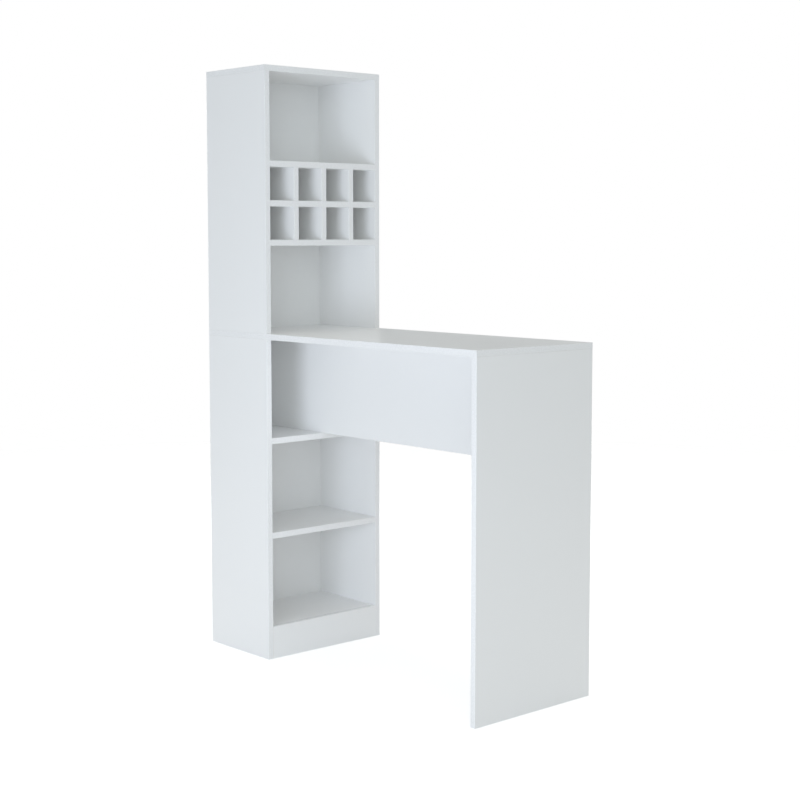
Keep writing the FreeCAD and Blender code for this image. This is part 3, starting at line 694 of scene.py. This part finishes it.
def connector_pattern():
    """A connector screw: countersunk, a plain shank, a coarse thread and a hexagon socket."""
    length, width = length_and_width("confirmat_screws")
    radius = width / 2
    shank, crest, root = 3.45 * MM, 3.15 * MM, 2.3 * MM
    thread = {"start": -18.0 * MM, "end": -length + 3.0 * MM, "pitch": 3.0 * MM,
              "depth": crest - root}
    profile = [
        (0.0, 0.0), (0.0, radius - 0.2 * MM), (-0.2 * MM, radius), (-0.6 * MM, radius),
        (-4.0 * MM, shank), (-17.0 * MM, shank), (thread["start"], root), (thread["end"], root),
        (-length, 0.0),
    ]
    corner, above, floor, point = 2.3 * MM, 1.0 * MM, -3.0 * MM, -3.6 * MM
    socket = turned([(above, 0.0), (above, corner), (floor, corner), (point, 0.0)], sides=6)
    return carved(turned(profile, SCREW_SIDES, thread), [socket])


# %% Cam bolts
BOLT_SIDES = 20


def cam_bolt_pattern():
    """A cam bolt: a domed head, a neck, a shaft, a collar and a coarse thread."""
    length, width = length_and_width("cam_bolts")
    head, neck, shaft, collar = 3.1 * MM, 2.0 * MM, 3.0 * MM, width / 2
    collar_top, collar_end = -24.5 * MM, -26.0 * MM
    crest, root = 3.05 * MM, 2.3 * MM
    thread = {"start": -length + 11.0 * MM, "end": -length, "pitch": 2.75 * MM,
              "depth": crest - root}
    profile = [
        (0.0, 0.0), (0.0, 0.5 * head), (-0.5 * MM, 0.85 * head), (-1.3 * MM, head),
        (-3.6 * MM, head), (-4.5 * MM, neck), (-9.6 * MM, neck), (-10.4 * MM, shaft),
        (collar_top, shaft), (collar_top, collar - 0.2 * MM), (collar_top - 0.2 * MM, collar),
        (collar_end, collar), (thread["start"], root), (thread["end"], root), (-length, 0.0),
    ]
    return turned(profile, BOLT_SIDES, thread)


# %% Dowels
FLUTES = 16
SIDES_PER_FLUTE = 4


def dowel_pattern():
    """A fluted beech dowel, bevelled at both ends."""
    length, width = length_and_width("wooden_dowels")
    radius = width / 2
    bevel = 1.0 * MM
    profile = [
        (0.0, 0.0), (0.0, radius - bevel), (-bevel, radius), (-length + bevel, radius),
        (-length, radius - bevel), (-length, 0.0),
    ]
    return turned(profile, FLUTES * SIDES_PER_FLUTE, flutes=FLUTES, flute_depth=0.35 * MM)


# %% Cams
CAM_SIDES = 64


def cam_lock_pattern():
    """A die-cast cam: a cross recess, pockets, an arrow that points to the bolt, and its mouth."""
    length, width = length_and_width("cam_locks")
    radius = width / 2
    profile = [
        (0.0, 0.0), (0.0, radius - 0.45 * MM), (-0.12 * MM, radius - 0.15 * MM),
        (-0.45 * MM, radius), (-length + 0.6 * MM, radius), (-length, radius - 0.6 * MM),
        (-length, 0.0),
    ]
    above, under = MM, -length - MM
    bolt_level = -8.7 * MM
    mouth_size, room_size = (9.0 * MM, 4.8 * MM), (5.3 * MM, 7.0 * MM)
    mouth = wedge(mouth_size, mouth_size, under, bolt_level + 2.0 * MM)
    room = wedge(room_size, room_size, under, bolt_level + 3.1 * MM)
    cutters = [shifted(mouth, 4.5 * MM, 0.0, 0.0), shifted(room, 0.25 * MM, 0.0, 0.0)]
    inner, outer, pocket_floor = 4.1 * MM, 6.3 * MM, -0.6 * MM
    for start, end in ((18.0, 108.0), (132.0, 228.0), (252.0, 342.0)):
        cutters.append(sector(inner, outer, start, end, pocket_floor, above))
    arrow_size, arrow_floor, arrow_place = 1.2 * MM, -0.4 * MM, 5.3 * MM
    arrow = turned([(above, 0.0), (above, arrow_size), (arrow_floor, arrow_size),
                    (arrow_floor, 0.0)], sides=3)
    cutters.append(shifted(arrow, arrow_place, 0.0, 0.0))
    cutters += cross_recess(span=7.0 * MM, arm=1.4 * MM, depth=2.2 * MM)
    return carved(turned(profile, CAM_SIDES), cutters, chamfer=0.1 * MM)


# %% [markdown]
# ## Seating the copies with Geometry Nodes
#
# Every copy of a fitting is the same piece on another seat, which is what instances are for. The
# tree takes the seats as loose points that carry two directions, turns the pattern so that its +Z
# looks out of the board and its +X along the second direction, and adds a random spin, because
# nobody lines up the crosses of their screws. It ends in plain geometry with its finish set.

# %% The seating tree
def make_seating_tree():
    """Copies a pattern piece onto every seat."""
    inputs = [("Seats", "Geometry"), ("Pattern", "Object"), ("Finish", "Material"),
              ("Most spin", "Float"), ("Seed", "Int")]
    tree, given, result = new_group("seat_fittings", "GeometryNodeTree", inputs,
                                    [("Fittings", "Geometry")])
    take = given.outputs
    read = {}
    for name in ("out", "sideways"):
        read[name] = put(tree, "GeometryNodeInputNamedAttribute", {"Name": name},
                         data_type="FLOAT_VECTOR").outputs["Attribute"]
    facing = put(tree, "FunctionNodeAxesToRotation",
                 {"Primary Axis": read["out"], "Secondary Axis": read["sideways"]},
                 primary_axis="Z", secondary_axis="X").outputs["Rotation"]
    backwards = maths(tree, "MULTIPLY", take["Most spin"], -1.0)
    spin = put(tree, "FunctionNodeRandomValue",
               {2: backwards, 3: take["Most spin"], "Seed": take["Seed"]}).outputs[1]
    about = put(tree, "FunctionNodeAxisAngleToRotation",
                {"Axis": (0.0, 0.0, 1.0), "Angle": spin}).outputs["Rotation"]
    turn = put(tree, "FunctionNodeRotateRotation", {"Rotation": facing, "Rotate By": about},
               rotation_space="LOCAL").outputs["Rotation"]
    pattern = put(tree, "GeometryNodeObjectInfo", {"Object": take["Pattern"]})
    copies = put(tree, "GeometryNodeInstanceOnPoints",
                 {"Points": take["Seats"], "Instance": pattern.outputs["Geometry"],
                  "Rotation": turn}).outputs["Instances"]
    shift = put(tree, "FunctionNodeRandomValue",
                {0: (-1.0, -1.0, -1.0), 1: (1.0, 1.0, 1.0), "Seed": take["Seed"]},
                data_type="FLOAT_VECTOR").outputs[0]
    marked = put(tree, "GeometryNodeStoreNamedAttribute",
                 {"Geometry": copies, "Name": "copy_shift", "Value": shift},
                 data_type="FLOAT_VECTOR", domain="INSTANCE").outputs["Geometry"]
    plain = put(tree, "GeometryNodeRealizeInstances", {"Geometry": marked}).outputs["Geometry"]
    finished = put(tree, "GeometryNodeSetMaterial",
                   {"Geometry": plain, "Material": take["Finish"]}).outputs["Geometry"]
    feed(tree, result.inputs["Fittings"], finished)
    return tree


seating_tree = make_seating_tree()
print("seating tree:", [item.name for item in seating_tree.interface.items_tree])


# %% Put a fitting in all its places
SMOOTH_BELOW = math.radians(35)


def points_with_directions(places):
    """Loose points at the seats, which carry the two directions of each."""
    mesh = bpy.data.meshes.new("seats")
    mesh.from_pydata([tuple(seat) for seat, out, side in places], [], [])
    for name, column in (("out", 1), ("sideways", 2)):
        layer = mesh.attributes.new(name, "FLOAT_VECTOR", "POINT")
        layer.data.foreach_set("vector", np.ravel([place[column] for place in places]))
    return mesh


def carry_own_place(mesh):
    """Store where each corner lies in its own pattern piece, for the finish to follow."""
    layer = mesh.attributes.new("own_place", "FLOAT_VECTOR", "POINT")
    spots = np.empty(len(mesh.vertices) * 3)
    mesh.vertices.foreach_get("co", spots)
    layer.data.foreach_set("vector", spots)


def seat_fitting(node, pattern_mesh, finish, most_spin, seed):
    """Replace one fitting node by detailed copies of its pattern piece."""
    pattern_mesh.shade_smooth()
    pattern_mesh.set_sharp_from_angle(angle=SMOOTH_BELOW)
    carry_own_place(pattern_mesh)
    pattern = bpy.data.objects.new("pattern", pattern_mesh)
    bpy.context.scene.collection.objects.link(pattern)
    piece = bpy.data.objects.new(f"{node}_detailed", points_with_directions(seats[node]))
    bpy.context.scene.collection.objects.link(piece)
    seating = piece.modifiers.new("seating", "NODES")
    seating.node_group = seating_tree
    wanted = {"Pattern": pattern, "Finish": finish, "Most spin": most_spin, "Seed": seed}
    for item in seating_tree.interface.items_tree:
        if item.in_out == "INPUT" and item.name in wanted:
            seating[item.identifier] = wanted[item.name]
    made = read_back(piece)
    piece.modifiers.clear()
    piece.data = made
    bpy.data.objects.remove(pattern)
    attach(piece, "root")
    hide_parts(node)
    print(piece.name, len(seats[node]), "copies,", len(made.polygons), "faces")


# %% [markdown]
# ## Finishes of the fittings
#
# Each finish is read in the piece's own coordinates plus a shift that differs from copy to copy.
# Zinc die-casting is dull and faintly mottled; rolled screw steel is brighter; the screws in the
# backs are yellow-passivated, whose film wanders between straw and a hint of green. Beech shows
# its grain along the dowel with short dark flecks. The caps are moulded in a white that is a
# touch creamier than the board.

# %% Coordinates that follow each copy
def own_coordinates(tree):
    """Where a point lies in its own copy, shifted so that no two copies look alike."""
    place = put(tree, "ShaderNodeAttribute", attribute_name="own_place").outputs["Vector"]
    shift = put(tree, "ShaderNodeAttribute", attribute_name="copy_shift").outputs["Vector"]
    return vectors(tree, "ADD", place, shift)


# %% Metals
METAL_GRAIN = 2600.0


def metal_finish(name, dull, bright, roughness, mottle, relief):
    """A metal that wanders between two colours, with fine relief."""
    material, tree = new_material(name)
    place = own_coordinates(tree)
    patches = noise(tree, place, mottle, 3.0)
    grain = noise(tree, place, METAL_GRAIN, 2.0)
    colour = mix(tree, spread(tree, patches), dull, bright)
    rough = maths(tree, "ADD", spread(tree, grain, roughness - 0.06, roughness + 0.06),
                  spread(tree, patches, 0.04, -0.04))
    finish_material(tree, colour, rough, maths(tree, "MULTIPLY", grain, relief), Metallic=1.0)
    return material


zinc_casting = metal_finish("zinc_casting", (0.42, 0.43, 0.44, 1.0), (0.60, 0.61, 0.62, 1.0),
                            roughness=0.42, mottle=260.0, relief=0.02 * MM)
screw_steel = metal_finish("screw_steel", (0.52, 0.52, 0.53, 1.0), (0.68, 0.68, 0.69, 1.0),
                           roughness=0.26, mottle=180.0, relief=0.006 * MM)
yellow_passivated = metal_finish("yellow_passivated", (0.66, 0.55, 0.30, 1.0),
                                 (0.72, 0.66, 0.47, 1.0),
                                 roughness=0.28, mottle=320.0, relief=0.006 * MM)


# %% Beech
BEECH_DARK = (0.56, 0.36, 0.20, 1.0)
BEECH_LIGHT = (0.72, 0.52, 0.33, 1.0)
BEECH_FLECK = (0.34, 0.19, 0.10, 1.0)
ALONG_THE_GRAIN = (1.0, 1.0, 0.08)
GROWTH = 700.0
FLECKS = 1500.0


def beech_finish():
    """Beech with its grain along the dowel, and the short flecks that mark the wood."""
    material, tree = new_material("beech_wood")
    place = own_coordinates(tree)
    drawn_out = vectors(tree, "MULTIPLY", place, ALONG_THE_GRAIN)
    growth = noise(tree, drawn_out, GROWTH, 3.0)
    fleck = put(tree, "ShaderNodeTexVoronoi", {"Vector": drawn_out, "Scale": FLECKS})
    mark = ramp(tree, fleck.outputs["Distance"], 0.10, 0.22, 0.55, 0.0)
    colour = mix(tree, spread(tree, growth), BEECH_DARK, BEECH_LIGHT)
    colour = mix(tree, mark, colour, BEECH_FLECK)
    roughness = spread(tree, growth, 0.55, 0.70)
    finish_material(tree, colour, roughness, maths(tree, "MULTIPLY", growth, 0.04 * MM))
    return material


# %% White plastic
CAP_SHADE = (0.80, 0.80, 0.785, 1.0)
CAP_WHITE = (0.835, 0.835, 0.82, 1.0)
FLOW_MARKS = 160.0
SPARKS = 3200.0


def plastic_finish():
    """Moulded white plastic: faint flow marks and a fine spark-eroded texture."""
    material, tree = new_material("white_moulding")
    place = own_coordinates(tree)
    flow = noise(tree, place, FLOW_MARKS, 2.0, Distortion=0.6)
    spark = noise(tree, place, SPARKS, 2.0)
    colour = mix(tree, spread(tree, flow), CAP_SHADE, CAP_WHITE)
    roughness = spread(tree, spark, 0.36, 0.46)
    finish_material(tree, colour, roughness, maths(tree, "MULTIPLY", spark, 0.012 * MM))
    return material


beech_wood = beech_finish()
white_moulding = plastic_finish()

# %% Seat every fitting
HALF_TURN = math.pi
A_LITTLE = math.radians(9)

seat_fitting("cam_locks", cam_lock_pattern(), zinc_casting, A_LITTLE, 1)
seat_fitting("cam_bolts", cam_bolt_pattern(), screw_steel, HALF_TURN, 2)
seat_fitting("cam_caps", cam_cap_pattern(), white_moulding, HALF_TURN, 3)
seat_fitting("wooden_dowels", dowel_pattern(), beech_wood, HALF_TURN, 4)
seat_fitting("confirmat_screws", connector_pattern(), screw_steel, HALF_TURN, 5)
seat_fitting("screw_caps", screw_cap_pattern(), white_moulding, HALF_TURN, 6)
seat_fitting("back_screws", back_screw_pattern(), yellow_passivated,
             HALF_TURN, 7)

# %% [markdown]
# ## The studio
#
# White furniture needs uneven light, or its faces all turn the same white. Most of it comes from
# the front, low down, so that it reaches into the bays and lights the walls that face it. A square
# soft box stands there, as large as a window, and its straight edges draw the soft steps of shade
# in the bays. Two more pick out the rear and the far side, and stand where the counter doesn't
# mirror them. The world adds four wide glows: the front of the room, low and high, its ceiling,
# and the wall behind. The floor is a pale disc that melts into the white background at its rim,
# so that no horizon line shows. The camera sees it a little brighter than it lights the boards.

# %% Floor
# The disc is solid out to FLOOR_SOLID metres and has faded away at FLOOR_RADIUS.
FLOOR_RADIUS = 7.0
FLOOR_SOLID = 2.2
FLOOR_PAINT = 0.86
FLOOR_LIFT = 0.46


def make_floor():
    """A pale disc under the object that fades out towards its rim."""
    mesh = bpy.data.meshes.new("floor")
    shape = bmesh.new()
    bmesh.ops.create_circle(shape, cap_ends=True, segments=96, radius=FLOOR_RADIUS)
    shape.to_mesh(mesh)
    shape.free()
    floor = bpy.data.objects.new("floor", mesh)
    bpy.context.scene.collection.objects.link(floor)
    material, tree = new_material("pale_floor")
    here = put(tree, "ShaderNodeTexCoord").outputs["Object"]
    away = put(tree, "ShaderNodeVectorMath", {0: here}, operation="LENGTH").outputs["Value"]
    cover = put(tree, "ShaderNodeMapRange", {"Value": away, "From Min": FLOOR_SOLID,
                "From Max": FLOOR_RADIUS, "To Min": 1.0, "To Max": 0.0},
                interpolation_type="SMOOTHERSTEP").outputs["Result"]
    paint = put(tree, "ShaderNodeBsdfDiffuse", {"Color": grey(FLOOR_PAINT)})
    seen = put(tree, "ShaderNodeLightPath").outputs["Is Camera Ray"]
    lift = put(tree, "ShaderNodeEmission", {"Color": grey(1.0),
               "Strength": maths(tree, "MULTIPLY", seen, FLOOR_LIFT)})
    lit = put(tree, "ShaderNodeAddShader", {0: paint.outputs[0], 1: lift.outputs[0]})
    clear = put(tree, "ShaderNodeBsdfTransparent")
    both = put(tree, "ShaderNodeMixShader", {0: cover, 1: clear.outputs[0], 2: lit.outputs[0]})
    put(tree, "ShaderNodeOutputMaterial", {"Surface": both.outputs[0]})
    mesh.materials.append(material)


make_floor()
print("floor radius:", FLOOR_RADIUS)

# %% Four glows all round
# Sharpness says how narrow a glow is: 2 fills half the room, 25 is a patch some 30 degrees wide.
GLOWS = {
    "front": {"azimuth": 55, "height": 4, "sharpness": 8.0, "colour": (1.25, 1.40, 1.46, 1.0)},
    "high": {"azimuth": 55, "height": 22, "sharpness": 25.0, "colour": grey(0.33)},
    "ceiling": {"azimuth": 0, "height": 90, "sharpness": 3.0, "colour": (1.14, 1.14, 1.09, 1.0)},
    "back": {"azimuth": 225, "height": 20, "sharpness": 2.0, "colour": (0.16, 0.19, 0.22, 1.0)},
}


def towards(azimuth, height):
    """The direction to a place in the studio, in degrees from the near side and above the floor."""
    turn, rise = math.radians(azimuth), math.radians(height)
    return Vector((math.sin(turn) * math.cos(rise), -math.cos(turn) * math.cos(rise),
                   math.sin(rise)))


def soft_glow(tree, look, azimuth, height, sharpness, colour):
    """Light that is strongest from one direction and falls off smoothly round it."""
    facing = put(tree, "ShaderNodeVectorMath", {0: look, 1: towards(azimuth, height)},
                 operation="DOT_PRODUCT").outputs["Value"]
    fall = maths(tree, "MULTIPLY", maths(tree, "SUBTRACT", facing, 1.0), sharpness)
    strength = maths(tree, "EXPONENT", fall)
    return put(tree, "ShaderNodeBackground", {"Color": colour, "Strength": strength})


def make_world():
    """White behind the object, and the four glows for everything that lights it."""
    world = bpy.data.worlds.new("studio")
    world.use_nodes = True
    tree = world.node_tree
    tree.nodes.clear()
    look = put(tree, "ShaderNodeTexCoord").outputs["Generated"]
    room, *others = [soft_glow(tree, look, **glow) for glow in GLOWS.values()]
    for more in others:
        room = put(tree, "ShaderNodeAddShader", {0: room.outputs[0], 1: more.outputs[0]})
    white = put(tree, "ShaderNodeBackground", {"Color": grey(1.0), "Strength": 1.0})
    seen = put(tree, "ShaderNodeLightPath").outputs["Is Camera Ray"]
    both = put(tree, "ShaderNodeMixShader", {0: seen, 1: room.outputs[0], 2: white.outputs[0]})
    put(tree, "ShaderNodeOutputWorld", {"Surface": both.outputs[0]})
    bpy.context.scene.world = world


make_world()
print("glows:", list(GLOWS))

# %% Soft boxes
LIGHT_DISTANCE = 3.5


def soft_box(name, azimuth, height, size, power, colour):
    """A square area light that stands on a circle round the object and faces its middle."""
    light = bpy.data.lights.new(name, "AREA")
    light.shape = "SQUARE"
    light.size = size
    light.energy = power
    light.color = colour
    lamp = bpy.data.objects.new(name, light)
    lamp.location = towards(azimuth, 0) * LIGHT_DISTANCE + Vector((0.0, 0.0, height))
    lamp.rotation_euler = (Vector(centre) - lamp.location).to_track_quat("-Z", "Y").to_euler()
    lamp.visible_camera = False
    bpy.context.scene.collection.objects.link(lamp)
    print(name, "stands at", [round(place, 2) for place in lamp.location])


soft_box("window_key", azimuth=22, height=0.72, size=1.15, power=42.0, colour=(0.775, 0.860, 1.0))
soft_box("rear_fill", azimuth=260, height=1.6, size=1.0, power=28.0, colour=(1.0, 1.0, 1.0))
soft_box("far_fill", azimuth=196, height=1.6, size=1.0, power=18.0, colour=(1.0, 1.0, 1.0))

# %% [markdown]
# ## The camera
#
# It stands at eye height beyond the end panel, a little to the near side, and looks slightly
# down. Its direction is given as two angles and its place in metres. The display lifts the
# shadows a little, as a photographer's print does, so that the depths of the bays stay open.

# %% Camera
CAMERA_PLACE = (3.44752, -3.02963, 1.29410)
CAMERA_AZIMUTH = 48.267
CAMERA_DOWN = 5.160
LENS = 69.927
RISE = -0.03
SHADOW_LIFT = 1.2


def make_camera():
    """The camera that the object is judged through."""
    data = bpy.data.cameras.new("camera")
    data.lens = LENS
    data.shift_y = RISE
    camera = bpy.data.objects.new("camera", data)
    camera.location = CAMERA_PLACE
    turn = (90.0 - CAMERA_DOWN, 0.0, CAMERA_AZIMUTH)
    camera.rotation_euler = [math.radians(angle) for angle in turn]
    bpy.context.scene.collection.objects.link(camera)
    bpy.context.scene.camera = camera


make_camera()
display = bpy.context.scene.view_settings
display.view_transform = "Standard"
display.gamma = SHADOW_LIFT
print("lens:", LENS, "mm, shadow lift:", SHADOW_LIFT)
